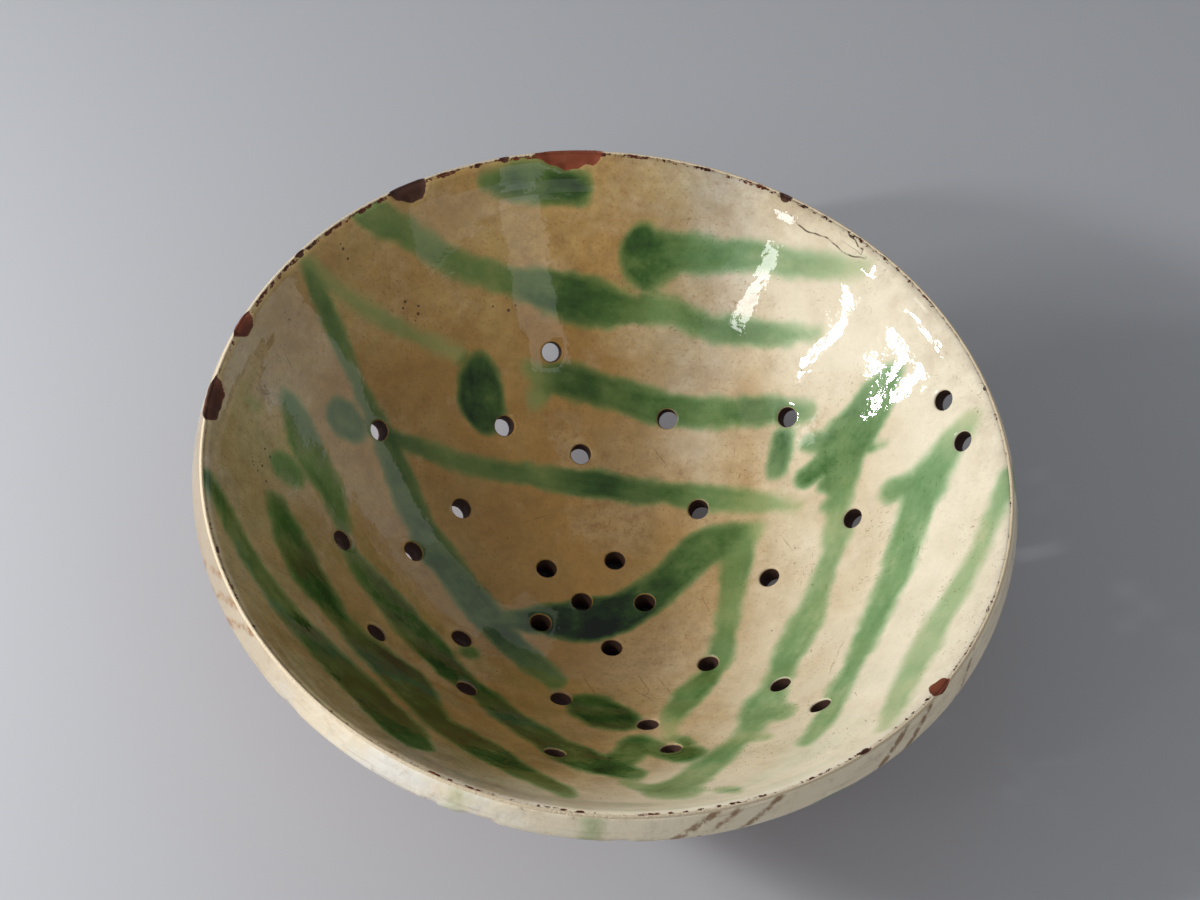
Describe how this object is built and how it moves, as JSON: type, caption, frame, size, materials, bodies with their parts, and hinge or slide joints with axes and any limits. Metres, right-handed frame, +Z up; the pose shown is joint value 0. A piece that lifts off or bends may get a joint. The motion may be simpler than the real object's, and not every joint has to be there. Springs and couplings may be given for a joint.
{
  "type": "berry colander bowl",
  "caption": "Wide thrown earthenware bowl on a foot ring, with punched drain holes, a rolled rim, a cream glaze inside and brushed green strokes.",
  "frame": {"origin": "centre of the foot ring's standing face, on the table", "axes": "+Z up along the bowl's axis; +Y to the far side of the picture and +X to its right"},
  "size_m": [0.3598, 0.3598, 0.1244],
  "materials": {
    "terracotta": "bare fired red clay, matt",
    "cream_glaze": "glossy cream to honey glaze",
    "green_glaze": "glossy copper green under the same gloss"
  },
  "bodies": {
    "root": {"clay_wall": "terracotta", "rim_collar": "terracotta", "foot_ring": "terracotta", "glaze_lining": "cream_glaze", "rim_glaze": "cream_glaze", "green_top_strokes": "green_glaze", "green_centre_hook": "green_glaze", "green_left_fan": "green_glaze", "green_right_stripes": "green_glaze"}
  },
  "joints": []
}
